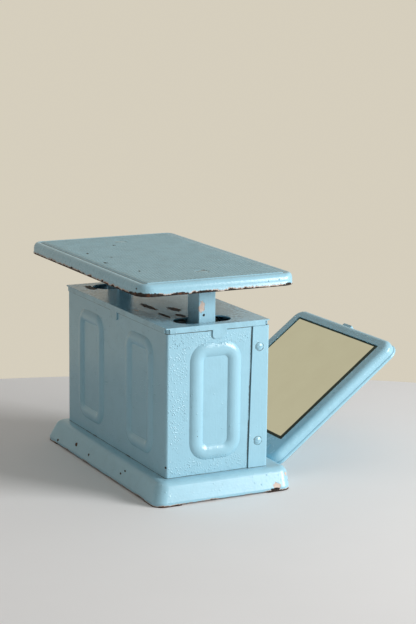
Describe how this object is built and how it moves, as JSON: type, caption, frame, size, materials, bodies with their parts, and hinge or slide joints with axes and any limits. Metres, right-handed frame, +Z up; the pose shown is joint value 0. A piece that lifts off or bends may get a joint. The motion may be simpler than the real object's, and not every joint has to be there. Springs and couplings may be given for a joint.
{
  "type": "mechanical bathroom scale",
  "caption": "Mechanical bathroom scale: raised platform on posts over a sheet-metal case on a plinth, front dial read in a tilting hinged mirror.",
  "frame": {"origin": "on the floor, below the middle of the whole box with the mirror open", "axes": "+Z up; the dial and the mirror face -Y; +X is the right-hand side seen from behind the case, on which a user stands facing -Y"},
  "size_m": [0.274, 0.3132, 0.2155],
  "materials": {
    "case_paint": "pale blue-green gloss enamel brushed on thickly, blistered in places",
    "plinth_paint": "the same enamel, chipped to pink primer and rust at the edges",
    "platform_paint": "the same enamel, worn to dark bare steel along the rim",
    "mirror_frame_paint": "pale blue-green gloss enamel",
    "screw_paint": "enamel painted over the screw heads",
    "mirror_silver": "old silvered glass, darker at the edges",
    "mirror_sheet": "enamelled sheet",
    "packing_card": "brown millboard",
    "window_glass": "clear window glass",
    "dial_face": "cream enamel with black figures",
    "pointer_black": "matt black",
    "brass": "turned brass",
    "bright_steel": "drawn steel bar",
    "zinc_steel": "zinc-plated steel sheet",
    "spring_steel": "oil-tempered wire",
    "bezel_chrome": "plated ring",
    "wheel_rubber": "black rubber tyre",
    "knob_plastic": "black moulded knob"
  },
  "bodies": {
    "case": {"base_plinth": "plinth_paint", "body_shell": "case_paint", "front_cover": "case_paint", "cover_screws": "screw_paint", "lid": "case_paint", "dial_bezel": "bezel_chrome", "dial_glass": "window_glass", "glass_retainer": "zinc_steel", "lever_bracket_left": "zinc_steel", "lever_bracket_right": "zinc_steel", "fulcrum_pin_left": "bright_steel", "fulcrum_pin_right": "bright_steel", "main_spring": "spring_steel", "spring_hanger": "bright_steel", "hanger_nut": "bright_steel", "mechanism_frame": "zinc_steel", "frame_screws": "bright_steel", "rear_plate": "brass", "front_plate": "brass", "movement_spacers": "brass", "movement_pillars": "brass", "rear_bush": "brass", "front_bush": "brass", "zero_bush": "brass", "fixed_hinge_leaves": "mirror_frame_paint", "hinge_pins": "bright_steel", "ledge_rivets": "screw_paint"},
    "platform": {"platform_plate": "platform_paint", "platform_bridge": "zinc_steel", "post_left": "case_paint", "post_right": "case_paint", "post_feet": "zinc_steel", "post_rivets": "platform_paint"},
    "left_lever": {"lever_left": "bright_steel"},
    "right_lever": {"lever_right": "bright_steel"},
    "draw": {"draw_stirrup": "zinc_steel", "rack": "brass", "spring_anchor": "bright_steel"},
    "pointer_set": {"spindle": "bright_steel", "pinion": "brass", "pointer": "pointer_black", "pointer_hub": "brass"},
    "dial": {"dial_plate": "dial_face"},
    "zero_set": {"zero_wheel": "wheel_rubber", "zero_shaft": "bright_steel", "zero_knob": "knob_plastic"},
    "mirror": {"mirror_frame": "mirror_frame_paint", "mirror_glass": "mirror_silver", "mirror_packing": "packing_card", "mirror_back": "mirror_sheet", "mirror_pull": "mirror_frame_paint", "moving_hinge_leaves": "mirror_frame_paint", "frame_rivets": "screw_paint"}
  },
  "joints": [
    {"name": "platform_slide", "type": "slide", "parent": "case", "child": "platform", "axis": [0, 0, -1], "range_m": [0, 0.00345], "stiffness_N_per_m": 320000},
    {"name": "left_lever_pivot", "type": "hinge", "parent": "case", "child": "left_lever", "pos_m": [-0.1095, 0.0717, 0.06], "axis": [0, 1, 0], "range_deg": [0, 12.8]},
    {"name": "right_lever_pivot", "type": "hinge", "parent": "case", "child": "right_lever", "pos_m": [0.1095, 0.0717, 0.06], "axis": [0, -1, 0], "range_deg": [0, 12.8]},
    {"name": "draw_slide", "type": "slide", "parent": "case", "child": "draw", "axis": [0, 0, -1], "range_m": [0, 0.0231], "deforming": ["main_spring"]},
    {"name": "pointer_spin", "type": "hinge", "parent": "case", "child": "pointer_set", "pos_m": [0, 0.0577, 0.098], "axis": [0, -1, 0], "range_deg": [0, 331]},
    {"name": "dial_spin", "type": "hinge", "parent": "case", "child": "dial", "pos_m": [0, 0.0207, 0.098], "axis": [0, 1, 0], "range_deg": [-12, 12]},
    {"name": "zero_spin", "type": "hinge", "parent": "case", "child": "zero_set", "pos_m": [0, 0.0207, 0.0359], "axis": [0, 1, 0], "range_deg": [-51, 51]},
    {"name": "mirror_hinge", "type": "hinge", "parent": "case", "child": "mirror", "pos_m": [0, -0.00735, 0.0227], "axis": [-1, 0, 0], "range_deg": [0, 52.7]}
  ],
  "couplings": [
    {"joint": "left_lever_pivot", "follows": "platform_slide", "rad_per_m": 64.516},
    {"joint": "right_lever_pivot", "follows": "platform_slide", "rad_per_m": 64.516},
    {"joint": "draw_slide", "follows": "platform_slide", "ratio": 6.6774},
    {"joint": "pointer_spin", "follows": "platform_slide", "rad_per_m": 1669.4},
    {"joint": "zero_spin", "follows": "dial_spin", "ratio": -4.1667}
  ]
}
